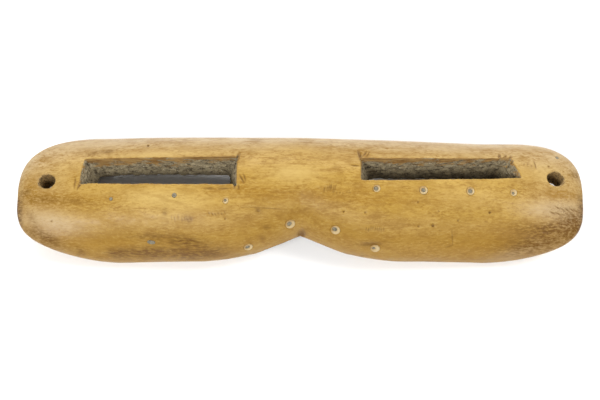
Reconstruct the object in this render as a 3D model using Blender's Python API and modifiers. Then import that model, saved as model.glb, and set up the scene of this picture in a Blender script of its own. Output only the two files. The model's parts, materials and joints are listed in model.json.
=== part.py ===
"""Snow goggles carved from one piece of wood, lying on their back.

The wooden body has two eye slots, a hollow behind them, a nose notch and a strap hole near each
end. Pale ring beads with grey cores, and a few bare grey pegs, are let into its front.

X runs along the length, +Y is the brow side, -Y the nose side and +Z the front. The origin is
at the bottom centre of the bounding box. Lengths below are in millimetres and angles in degrees.
"""

import math

import bmesh
import bpy
import numpy as np
from mathutils import Matrix, Vector

MM = 0.001  # metres in a millimetre

# Outline, looking straight at the front
HALF_LENGTH = 66.0
BROW_Y = 14.04  # brow edge at the middle
BROW_TAPER = -0.018  # the brow edge comes down towards +X
CHEEK_Y = -15.5  # nose-side edge at the cheeks
SWEEP = 1.35  # how far the ends turn up towards the brow
TIP_Y = -3.2  # level of the tips before that sweep
LEFT_END = 27.5  # length over which each end rounds off
RIGHT_END = 21.2
LEFT_SQUARENESS = 3.1
RIGHT_SQUARENESS = 3.4
END_POWER = 2.5
NOSE_X = 0.05
NOSE_DEPTH = 5.5
NOSE_HALF_WIDTH = 23.4
NOSE_POWER = 1.85

# Profile, looking from the nose side
CREST_Z = 18.5
BOW = 9.5  # how far the front drops to the tips
BOW_POWER = 2.3
ARCH = 3.2  # how far the back stands off the table at the middle
FOOT_X = 42.0  # where the back comes down to the table
FOOT_WEAR = 1.7  # thickness worn flat at the four feet
TIP_RELIEF = 7.2  # how far the back rises from the feet to the tips
TIP_Z = 7.8
TIP_ROUNDING = 6.0
WIDEST_SHARE = 0.33  # height of the widest line, as a share of the thickness
FRONT_ROUNDNESS = 2.0
BACK_SQUARENESS = 2.6

# Hollow behind the eyes and the relief for the nose
WALL = 9.8  # wood left in front of the hollow, from the middle to +X
LEFT_THINNING = 2.8  # how much of it is gone at the hollow's other end
THINNING_POWER = 0.9
DEEPEST_CUT = 12.0  # how far the slots' cutters reach below the front
HOLLOW_HALF_LENGTH = 53.0
HOLLOW_HALF_WIDTH = 10.0
HOLLOW_Y = -0.4
HOLLOW_SQUARENESS = 3.2
HOLLOW_END_POWER = 8.0  # the higher, the later the hollow narrows towards its ends
HOLLOW_CEILING_POWER = 20.0
HOLLOW_CUT_BELOW = 6.0  # how far its cutter reaches under the table
NOSE_ARCH_HALF_WIDTH = 14.5
NOSE_ARCH_HEIGHT = 8.4
NOSE_ARCH_NARROWING = 0.82  # size of the arch at its far end, against its size at the edge
NOSE_ARCH_REACH = 16.0
NOSE_ARCH_START = 2.0  # how far before the cheeks' edge its cutter begins
NOSE_ARCH_SEGMENTS = 40

# Eye slots, cut along lines that climb towards the brow as the front drops to the ends
SLOT_TILT = 12.0  # the cut leans from the hollow towards the brow
SLOT_STATIONS = 9
OUTER_FLARE = 4.0  # extra length at the front, past where the end meets the hollow
INNER_FLARE = 2.2
BACK_NARROWING = 0.3  # how much lower each slot is at the hollow
# Each one's two ends at the front, its line's level, the line's rise for each unit that the front
# drops, its height at the inner and outer ends, and how far the outer end's brow-side corner
# stands in from its nose-side corner
SLOTS = {
    "left": {
        "inner": -14.5,
        "outer": -51.3,
        "level": 2.8,
        "climb": 0.31,
        "heights": (7.4, 6.6),
        "slant": 1.1,
    },
    "right": {
        "inner": 14.0,
        "outer": 51.6,
        "level": 3.05,
        "climb": 0.45,
        "heights": (5.9, 5.8),
        "slant": 2.7,
    },
}

# Strap holes, which narrow towards the back
HOLES = {"left": (-58.85, 2.4), "right": (59.45, 3.1)}
HOLE_RADIUS = 2.0  # along the length, at the front
HOLE_NARROWING = 0.88  # its other radius, as a share of that
HOLE_TAPER = 0.03  # loss of radius for each unit of depth
HOLE_LEAN = 12.0  # the front of each hole leans out towards its end
HOLE_SEGMENTS = 28

# Inlays, looking straight at the front. A ringed one is a bead (x, y, its radius and the radius
# of its hole), and a bare one is a peg (x, y, half its length and half its width).
RINGED = {
    "nose_1": (-11.9, -13.45, 1.10, 0.64),
    "nose_2": (-2.2, -8.95, 1.18, 0.66),
    "nose_3": (8.1, -10.5, 1.14, 0.64),
    "nose_4": (17.3, -14.0, 1.14, 0.44),
    "slot_right_1": (17.6, -1.9, 0.90, 0.58),
    "slot_right_2": (28.4, -2.0, 1.00, 0.56),
    "slot_right_3": (39.3, -1.65, 0.98, 0.60),
    "slot_right_4": (49.4, -1.3, 0.86, 0.38),
    "slot_left_1": (-17.1, -4.75, 0.70, 0.34),
}
BARE = {
    "slot_left_2": (-28.9, -3.15, 0.56, 0.56),
    "slot_left_3": (-43.6, -3.2, 0.42, 0.42),
    "cheek_left": (-34.3, -12.7, 1.00, 0.50),
    "temple_right": (60.2, 9.05, 0.44, 0.44),
}
BEAD_HEIGHT = 1.3
BEAD_PROUD = 0.12
PEG_LENGTH = 1.1
PEG_SUNK = 0.08
FIT_GAP = 0.06  # between an inlay and the wall of its pocket
POCKET_FLOOR_GAP = 0.1

BODY_STATIONS = 61
BODY_SIDES = 44
HOLLOW_STATIONS = 33
HOLLOW_SIDES = 28
TURN_STEPS = 14


def rounded_end(along, power, squareness):
    """1 before a rounded end, falling to 0 at its tip, for a share along it from 0 to 1."""
    return (1.0 - min(max(along, 0.0), 1.0) ** power) ** (1.0 / squareness)


def superellipse(share, roundness):
    """Height, from 1 to 0, of a superellipse's quarter at a share of its half-width."""
    return (1.0 - min(abs(share), 1.0) ** roundness) ** (1.0 / roundness)


def section(x):
    """The cross-section at x: nose-side edge, brow edge, back, widest line and crest."""
    share = abs(x) / HALF_LENGTH
    if x < 0:
        end, squareness = LEFT_END, LEFT_SQUARENESS
    else:
        end, squareness = RIGHT_END, RIGHT_SQUARENESS
    width = rounded_end((abs(x) - HALF_LENGTH + end) / end, END_POWER, squareness)
    notch = NOSE_DEPTH * max(0.0, 1.0 - abs(x - NOSE_X) / NOSE_HALF_WIDTH) ** NOSE_POWER
    sweep = SWEEP * share**2
    low = TIP_Y + (CHEEK_Y + notch - TIP_Y) * width + sweep
    high = TIP_Y + (BROW_Y + BROW_TAPER * x - TIP_Y) * width + sweep

    if abs(x) < FOOT_X:
        back = ARCH * (1.0 - (x / FOOT_X) ** 2)
    else:
        past = (abs(x) - FOOT_X) / (HALF_LENGTH - FOOT_X)
        back = TIP_RELIEF * past * past * (3.0 - 2.0 * past)
    thin = rounded_end((abs(x) - HALF_LENGTH + TIP_ROUNDING) / TIP_ROUNDING, 2.0, 2.0)
    back = TIP_Z + (back - FOOT_WEAR - TIP_Z) * thin
    crest = TIP_Z + (CREST_Z - BOW * share**BOW_POWER - TIP_Z) * thin
    return low, high, back, back + WIDEST_SHARE * (crest - back), crest


def front_z(x, y):
    """Height of the front surface over a point."""
    low, high, _, widest, crest = section(x)
    across = (y - (low + high) / 2) / ((high - low) / 2)
    return widest + (crest - widest) * superellipse(across, FRONT_ROUNDNESS)


def front_frame(x, y):
    """The point on the front surface over (x, y), and a rotation whose Z is the normal there."""
    step = 0.05
    slope_x = (front_z(x + step, y) - front_z(x - step, y)) / (2 * step)
    slope_y = (front_z(x, y + step) - front_z(x, y - step)) / (2 * step)
    normal = Vector((-slope_x, -slope_y, 1.0)).normalized()
    return Vector((x, y, front_z(x, y))), normal.to_track_quat("Z", "Y").to_matrix().to_4x4()


def signed_power(value, power):
    return math.copysign(abs(value) ** power, value)


def body_ring(x):
    """The body's cross-section at x, flattened where it would pass below the table."""
    low, high, back, widest, crest = section(x)
    points = []
    for turn in np.linspace(0.0, 2 * math.pi, BODY_SIDES, endpoint=False):
        across, up = math.cos(turn), math.sin(turn)
        power = 2.0 / (FRONT_ROUNDNESS if up >= 0 else BACK_SQUARENESS)
        y = (low + high) / 2 + (high - low) / 2 * signed_power(across, power)
        height = crest - widest if up >= 0 else widest - back
        points.append((x, y, max(0.0, widest + height * signed_power(up, power))))
    return points


def hollow_ring(x):
    """The cross-section of the hollow's cutter, whose lower half is out in the open."""
    end = abs(x) / HOLLOW_HALF_LENGTH
    half_width = HOLLOW_HALF_WIDTH * rounded_end(end, HOLLOW_END_POWER, HOLLOW_SQUARENESS)
    wall = WALL - LEFT_THINNING * (max(-x, 0.0) / HOLLOW_HALF_LENGTH) ** THINNING_POWER
    ceiling = (section(x)[4] - wall) * rounded_end(end, HOLLOW_CEILING_POWER, 2.0)
    points = []
    for turn in np.linspace(0.0, 2 * math.pi, HOLLOW_SIDES, endpoint=False):
        across = signed_power(math.cos(turn), 2.0 / HOLLOW_SQUARENESS)
        up = signed_power(math.sin(turn), 2.0 / HOLLOW_SQUARENESS)
        z = -HOLLOW_CUT_BELOW + (ceiling + HOLLOW_CUT_BELOW) * up
        points.append((x, HOLLOW_Y + half_width * across, z))
    return points


def stations(half_length, count):
    """Places along X, closer together towards both ends and never quite at the tips."""
    nearly_right_angle = math.radians(88.6)
    turns = np.linspace(-nearly_right_angle, nearly_right_angle, count)
    return [half_length * math.sin(turn) for turn in turns]


def new_object(name, mesh_tool, collection, material=None):
    """An object whose mesh is the bmesh given, scaled from millimetres to metres."""
    bmesh.ops.scale(mesh_tool, vec=(MM, MM, MM), verts=mesh_tool.verts)
    bmesh.ops.recalc_face_normals(mesh_tool, faces=mesh_tool.faces)
    mesh = bpy.data.meshes.new(name)
    mesh_tool.to_mesh(mesh)
    mesh_tool.free()
    created = bpy.data.objects.new(name, mesh)
    collection.objects.link(created)
    if material is None:
        created.hide_render = True
        created.display_type = "WIRE"
    else:
        mesh.materials.append(material)
        mesh.shade_smooth()
        mesh.set_sharp_from_angle(angle=math.radians(40))
    return created


def loft(rings):
    """A closed skin over rings of points, all with the same number of points."""
    skin = bmesh.new()
    rows = [[skin.verts.new(point) for point in ring] for ring in rings]
    for row, following in zip(rows, rows[1:]):
        for i in range(len(row)):
            j = (i + 1) % len(row)
            skin.faces.new((row[i], row[j], following[j], following[i]))
    skin.faces.new(rows[0])
    skin.faces.new(rows[-1])
    return skin


def slot_cutter(slot):
    """A block through the wall with flared ends, from inside the hollow to past the front."""
    tilt = math.radians(SLOT_TILT)
    frontwards = Vector((0.0, math.sin(tilt), math.cos(tilt)))
    browwards = Vector((0.0, math.cos(tilt), -math.sin(tilt)))
    middle = (slot["inner"] + slot["outer"]) / 2
    half_length = (slot["outer"] - slot["inner"]) / 2  # negative when the outer end is at -X
    outwards = math.copysign(1.0, half_length)
    past_front = 6.0
    past_back = -DEEPEST_CUT
    corners = ((past_front, 1), (past_front, -1), (past_back, -1), (past_back, 1))
    rings = []
    for share in np.linspace(-1.0, 1.0, SLOT_STATIONS):  # from the inner end to the outer
        flare = OUTER_FLARE if share > 0 else INNER_FLARE
        front_height = np.interp(share, (-1.0, 1.0), slot["heights"])
        ring = []
        for depth, side in corners:
            height = front_height + BACK_NARROWING * depth / WALL
            reach = half_length + outwards * flare * depth / WALL
            if side > 0 and share > 0:
                reach -= outwards * slot["slant"]
            x = middle + share * reach
            y = slot["level"] + slot["climb"] * (CREST_Z - section(x)[4])
            at_front = Vector((x, y, front_z(x, y)))
            ring.append(at_front + frontwards * depth + browwards * (side * height / 2))
        rings.append(ring)
    return loft(rings)


def round_cutter(matrix, bottom, top, bottom_radius, top_radius, segments):
    """A cylinder or a cone about the matrix's Z, from one height along it to another."""
    made = bmesh.new()
    bmesh.ops.create_cone(
        made,
        cap_ends=True,
        segments=segments,
        radius1=bottom_radius,
        radius2=top_radius,
        depth=top - bottom,
    )
    lift = Matrix.Translation((0, 0, (top + bottom) / 2))
    bmesh.ops.transform(made, matrix=matrix @ lift, verts=made.verts)
    return made


def nose_arch_cutter():
    """A tapered arch that opens the hollow towards the nose."""
    start = Matrix.Translation((NOSE_X, CHEEK_Y - NOSE_ARCH_START, 0.0))
    towards_brow = Matrix.Rotation(math.radians(-90), 4, "X")
    squash = Matrix.Diagonal((1.0, NOSE_ARCH_HEIGHT / NOSE_ARCH_HALF_WIDTH, 1.0, 1.0))
    far_half_width = NOSE_ARCH_HALF_WIDTH * NOSE_ARCH_NARROWING
    matrix = start @ towards_brow @ squash
    return round_cutter(
        matrix, 0.0, NOSE_ARCH_REACH, NOSE_ARCH_HALF_WIDTH, far_half_width, NOSE_ARCH_SEGMENTS
    )


def strap_hole_cutter(x, y):
    """An oval cone right through an end, smaller at the back."""
    lean = Matrix.Rotation(math.radians(math.copysign(HOLE_LEAN, x)), 4, "Y")
    narrow = Matrix.Diagonal((1.0, HOLE_NARROWING, 1.0, 1.0))
    matrix = Matrix.Translation((x, y, front_z(x, y))) @ lean @ narrow
    above, below = 3.0, 11.0
    return round_cutter(
        matrix,
        -below,
        above,
        HOLE_RADIUS - HOLE_TAPER * below,
        HOLE_RADIUS + HOLE_TAPER * above,
        HOLE_SEGMENTS,
    )


def pocket_cutter(x, y, half_length, half_width, depth):
    """A pocket for an inlay, wider than it by the fit gap."""
    origin, rotation = front_frame(x, y)
    widen = Matrix.Diagonal((half_length + FIT_GAP, half_width + FIT_GAP, 1.0, 1.0))
    matrix = Matrix.Translation(origin) @ rotation @ widen
    return round_cutter(matrix, -depth - POCKET_FLOOR_GAP, 2.0, 1.0, 1.0, TURN_STEPS)


def turned(name, profile, place, collection, material, widening=1.0):
    """A solid of revolution about the front's normal at a place, made oval by the widening.

    The profile is a list of (radius, height) from its highest point down its outer side. It
    ends on the axis, or comes back up inside to where it began.
    """
    outline = bmesh.new()
    verts = [outline.verts.new((radius, 0.0, height)) for radius, height in profile]
    for first, second in zip(verts, verts[1:]):
        outline.edges.new((first, second))
    if profile[-1][0] > 0:
        outline.edges.new((verts[-1], verts[0]))
    bmesh.ops.scale(outline, vec=(MM, MM, MM), verts=outline.verts)
    mesh = bpy.data.meshes.new(name)
    outline.to_mesh(mesh)
    outline.free()
    mesh.materials.append(material)
    created = bpy.data.objects.new(name, mesh)
    collection.objects.link(created)
    origin, rotation = front_frame(*place)
    widen = Matrix.Diagonal((widening, 1.0, 1.0, 1.0))
    created.matrix_world = Matrix.Translation(origin * MM) @ rotation @ widen
    screw = created.modifiers.new("turn", "SCREW")
    screw.steps = TURN_STEPS
    screw.render_steps = TURN_STEPS
    screw.use_merge_vertices = True
    screw.merge_threshold = 0.00001
    screw.use_smooth_shade = True
    return created


def bead_profile(radius, hole_radius):
    """A bead's half-section, from its crest down the outside and back up its hole."""
    shoulder = 0.3 * (radius - hole_radius)
    top = BEAD_PROUD
    bottom = top - BEAD_HEIGHT
    return [
        ((radius + hole_radius) / 2, top),
        (radius - shoulder, top - 0.05),
        (radius, top - 0.3),
        (radius, bottom),
        (hole_radius, bottom),
        (hole_radius, top - 0.25),
        (hole_radius + shoulder, top - 0.06),
    ]


def peg_profile(radius):
    """A low-domed peg's half-section, from the middle of its top down to its foot."""
    top = -PEG_SUNK
    return [
        (0.0, top),
        (radius * 0.7, top - 0.04),
        (radius, top - 0.14),
        (radius, top - PEG_LENGTH),
        (0.0, top - PEG_LENGTH),
    ]


def new_material(name, color, roughness, metallic=0.0):
    material = bpy.data.materials.new(name)
    material.use_nodes = True
    shader = material.node_tree.nodes["Principled BSDF"]
    shader.inputs["Base Color"].default_value = (*color, 1.0)
    shader.inputs["Roughness"].default_value = roughness
    shader.inputs["Metallic"].default_value = metallic
    return material


def new_collection(name):
    collection = bpy.data.collections.new(name)
    bpy.context.scene.collection.children.link(collection)
    return collection


def main():
    for existing in list(bpy.data.objects):
        bpy.data.objects.remove(existing, do_unlink=True)
    parts = new_collection("snow_goggles")
    cutters = new_collection("cutters")
    wood = new_material("wood", (0.56, 0.36, 0.15), 0.45)
    bead_cream = new_material("bead_cream", (0.80, 0.74, 0.58), 0.35)
    peg_grey = new_material("peg_grey", (0.16, 0.17, 0.18), 0.6)

    body = new_object(
        "body", loft([body_ring(x) for x in stations(HALF_LENGTH, BODY_STATIONS)]), parts, wood
    )
    hollow = loft([hollow_ring(x) for x in stations(HOLLOW_HALF_LENGTH, HOLLOW_STATIONS)])
    shapes = {"hollow": hollow, "nose_arch": nose_arch_cutter()}
    for side, slot in SLOTS.items():
        shapes[f"slot_{side}"] = slot_cutter(slot)
    for side, place in HOLES.items():
        shapes[f"strap_hole_{side}"] = strap_hole_cutter(*place)

    # A bead holds its core with the same gap that the wood holds the bead or a bare peg with
    for name, (x, y, radius, hole_radius) in RINGED.items():
        turned(f"bead_{name}", bead_profile(radius, hole_radius), (x, y), parts, bead_cream)
        turned(f"core_{name}", peg_profile(hole_radius - FIT_GAP), (x, y), parts, peg_grey)
        depth = BEAD_HEIGHT - BEAD_PROUD
        shapes[f"pocket_{name}"] = pocket_cutter(x, y, radius, radius, depth)
    for name, (x, y, half_length, half_width) in BARE.items():
        widening = half_length / half_width
        turned(f"peg_{name}", peg_profile(half_width), (x, y), parts, peg_grey, widening)
        depth = PEG_LENGTH + PEG_SUNK
        shapes[f"pocket_{name}"] = pocket_cutter(x, y, half_length, half_width, depth)

    for name, shape in shapes.items():
        cutter = new_object(f"cut_{name}", shape, cutters)
        cut = body.modifiers.new(name, "BOOLEAN")
        cut.operation = "DIFFERENCE"
        cut.solver = "EXACT"
        cut.object = cutter


main()
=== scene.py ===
"""Snow goggles carved from one piece of wood: their looks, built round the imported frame.

They lie on their back. X runs along the length, +Y is the brow side, -Y the nose side and +Z the
front. Shapes are worked out in millimetres, as in the frame's own design, and scaled to metres
when their mesh is final. The inlays' places and sizes are read from the frame.
"""

import itertools
import json
import math

import bmesh
import bpy
import numpy as np
from mathutils import Matrix, Vector

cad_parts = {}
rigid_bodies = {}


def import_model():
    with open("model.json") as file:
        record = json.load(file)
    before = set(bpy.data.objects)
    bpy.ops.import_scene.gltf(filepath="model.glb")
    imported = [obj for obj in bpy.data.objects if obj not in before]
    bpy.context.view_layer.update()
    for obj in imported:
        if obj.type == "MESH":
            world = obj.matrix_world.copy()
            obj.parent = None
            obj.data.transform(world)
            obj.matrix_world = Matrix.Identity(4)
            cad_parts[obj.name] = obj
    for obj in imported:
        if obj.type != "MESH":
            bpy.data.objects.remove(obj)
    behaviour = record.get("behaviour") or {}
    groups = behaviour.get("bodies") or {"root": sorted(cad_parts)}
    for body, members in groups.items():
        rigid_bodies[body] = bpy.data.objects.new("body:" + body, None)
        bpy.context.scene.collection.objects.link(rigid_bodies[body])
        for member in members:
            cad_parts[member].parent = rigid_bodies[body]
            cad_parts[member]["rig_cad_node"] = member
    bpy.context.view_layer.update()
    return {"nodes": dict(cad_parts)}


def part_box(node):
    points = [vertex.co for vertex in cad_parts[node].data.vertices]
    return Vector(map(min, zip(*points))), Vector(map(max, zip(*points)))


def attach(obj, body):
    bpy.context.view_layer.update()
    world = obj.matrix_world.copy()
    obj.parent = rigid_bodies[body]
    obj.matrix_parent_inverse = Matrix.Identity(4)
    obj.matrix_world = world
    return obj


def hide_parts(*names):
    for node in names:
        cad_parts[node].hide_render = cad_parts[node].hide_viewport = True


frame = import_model()

MM = 0.001  # metres in a millimetre

# The body's outline and profile, as in the frame
HALF_LENGTH = 66.0
BROW_Y = 14.04
BROW_TAPER = -0.018
CHEEK_Y = -15.5
SWEEP = 1.35
TIP_Y = -3.2
LEFT_END = 27.5
RIGHT_END = 21.2
LEFT_SQUARENESS = 3.1
RIGHT_SQUARENESS = 3.4
END_POWER = 2.5
NOSE_X = 0.05
NOSE_DEPTH = 5.5
NOSE_HALF_WIDTH = 23.4
NOSE_POWER = 1.85
CREST_Z = 18.5
BOW = 9.5
BOW_POWER = 2.3
ARCH = 3.2
FOOT_X = 42.0
FOOT_WEAR = 1.7
TIP_RELIEF = 7.2
TIP_Z = 7.8
TIP_ROUNDING = 6.0
WIDEST_SHARE = 0.33
FRONT_ROUNDNESS = 2.0
BACK_SQUARENESS = 2.6

# The hollow and the nose arch, as in the frame
WALL = 9.8
LEFT_THINNING = 2.8
THINNING_POWER = 0.9
DEEPEST_CUT = 12.0
HOLLOW_HALF_LENGTH = 53.0
HOLLOW_HALF_WIDTH = 10.0
HOLLOW_Y = -0.4
HOLLOW_SQUARENESS = 3.2
HOLLOW_END_POWER = 8.0
HOLLOW_CEILING_POWER = 20.0
HOLLOW_CUT_BELOW = 6.0
NOSE_ARCH_HALF_WIDTH = 14.5
NOSE_ARCH_HEIGHT = 8.4
NOSE_ARCH_NARROWING = 0.82
NOSE_ARCH_REACH = 16.0
NOSE_ARCH_START = 2.0  # how far before the cheeks' edge it begins

# The eye slots and strap holes, as in the frame
SLOT_TILT = 12.0
OUTER_FLARE = 4.0
INNER_FLARE = 2.2
BACK_NARROWING = 0.3
SLOTS = {
    "left": {
        "inner": -14.5,
        "outer": -51.3,
        "level": 2.8,
        "climb": 0.31,
        "heights": (7.4, 6.6),
        "slant": 1.1,
    },
    "right": {
        "inner": 14.0,
        "outer": 51.6,
        "level": 3.05,
        "climb": 0.45,
        "heights": (5.9, 5.8),
        "slant": 2.7,
    },
}
HOLES = {"left": (-58.85, 2.4), "right": (59.45, 3.1)}
HOLE_RADIUS = 2.0
HOLE_NARROWING = 0.88
HOLE_TAPER = 0.03
HOLE_LEAN = 12.0
HOLE_CUT = (-11.0, 3.0)  # from where to where its cutter goes, along its axis from the front

# The mesh
VOXEL = 0.21
MOST_TRIANGLES = 188_000
BODY_STATIONS = 301
BODY_SIDES = 200
HOLLOW_STATIONS = 81
HOLLOW_SIDES = 64
SLOT_STATIONS = 61
NOSE_ARCH_SEGMENTS = 128
HOLE_SEGMENTS = 64
GOUGE_SEGMENTS = 7
POCKET_SEGMENTS = 36
SLOT_CUT_ABOVE = 6.0  # how far past the front the slots' cutters go
CUT_ABOVE = 2.0  # and the small ones
GOUGE_TIP = 0.3  # a gouge's radius at its bottom, as a share of that at the front
FRONT_SPARING = 0.004  # cost added to thinning the front, per millimetre of edge

# Gouges at the slots' corners, where the knife went past: x, y, radius and depth
GOUGES = [
    (-14.7, 5.8, 0.75, 3.0),
    (-14.3, 6.6, 0.60, 2.5),
    (-14.0, 7.2, 0.40, 1.6),
    (-14.9, -1.0, 0.55, 2.5),
    (46.9, 7.7, 0.80, 2.6),
    (47.6, 7.9, 0.70, 2.5),
    (48.6, 7.6, 0.90, 3.0),
    (48.5, 7.4, 0.80, 3.0),
    (49.4, 7.2, 0.60, 3.0),
    (14.1, 5.7, 0.60, 2.0),
    (13.9, 6.4, 0.45, 1.4),
    (13.6, 7.6, 0.40, 1.1),
    (-51.1, 0.6, 0.45, 2.0),
]
# Knife lines, scratches and cracks: from x, y to x, y, half their width and their depth
CUTS = [
    (-52.1, 2.8, -52.2, 0.0, 0.16, 0.20),
    (-51.1, 1.4, -51.6, -0.5, 0.16, 0.18),
    (14.1, 5.6, 13.5, 8.2, 0.34, 0.45),
    (-14.9, 4.0, -14.0, 7.5, 0.30, 0.60),
    (-15.0, -0.8, -15.0, -1.8, 0.22, 0.35),
    (46.6, 7.4, 46.5, 9.0, 0.30, 0.40),
    (47.6, 7.4, 48.0, 8.8, 0.26, 0.35),
    (48.6, 7.2, 49.2, 8.6, 0.24, 0.35),
    (14.6, 6.5, 15.4, 8.0, 0.18, 0.16),
    (15.4, 6.3, 16.1, 7.9, 0.16, 0.12),
    (11.9, 3.9, 13.8, 3.7, 0.16, 0.25),
    (54.6, 7.3, 55.0, 5.4, 0.16, 0.15),
    (-14.2, -1.0, -14.0, -2.2, 0.16, 0.20),
    (-13.9, 1.4, -12.9, -0.6, 0.22, 0.15),
    (-13.0, 1.6, -12.5, -0.2, 0.18, 0.12),
    (-22.0, -1.8, -19.7, -1.8, 0.20, 0.10),
    (-18.6, -1.9, -16.0, -1.9, 0.22, 0.10),
    (-13.5, -6.2, -3.0, -6.4, 0.12, 0.04),
    (14.0, -13.2, 18.6, -13.3, 0.22, 0.10),
    (34.9, -10.4, 35.3, -13.4, 0.12, 0.06),
    (33.6, -13.5, 35.0, -13.2, 0.14, 0.06),
    (55.3, -9.7, 57.9, -9.9, 0.16, 0.10),
]
# Rows of tool marks: x, y, how many, spacing, length, lean in degrees and depth
TICKS = [
    (6.9, -1.9, 6, 0.50, 1.5, 12.0, 0.10),
    (9.6, -2.9, 6, 0.75, 0.4, 60.0, 0.07),
    (17.2, -10.5, 9, 0.50, 0.8, 8.0, 0.08),
    (-19.0, -7.5, 6, 0.70, 0.6, -30.0, 0.09),
    (-28.0, -8.2, 5, 0.80, 1.3, -6.0, 0.03),
    (-25.5, -8.6, 2, 0.70, 1.0, -38.0, 0.05),
    (53.0, 6.2, 3, 0.95, 0.7, 10.0, 0.04),
    (62.0, -4.2, 5, 1.10, 1.5, -62.0, 0.14),
    (61.0, -5.6, 5, 1.20, 1.4, -70.0, 0.14),
    (63.0, -6.6, 4, 0.90, 1.2, -66.0, 0.14),
]
# Pits: x, y, radius and depth
PITS = [
    (-35.4, 10.7, 0.34, 0.45),
    (10.0, -7.0, 0.24, 0.25),
    (30.5, -9.6, 0.36, 0.35),
    (27.2, -9.9, 0.28, 0.18),
    (43.7, -6.3, 0.32, 0.30),
    (31.9, -6.6, 0.20, 0.15),
    (36.3, -8.4, 0.22, 0.15),
    (14.9, -7.3, 0.30, 0.12),
    (27.1, -4.8, 0.24, 0.15),
    (58.0, 6.3, 0.30, 0.15),
    (-57.5, -7.2, 0.25, 0.12),
    (-17.2, -8.6, 0.25, 0.12),
    (-9.6, -6.9, 0.35, 0.10),
    (0.3, -10.1, 0.80, 0.30),
]
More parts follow.
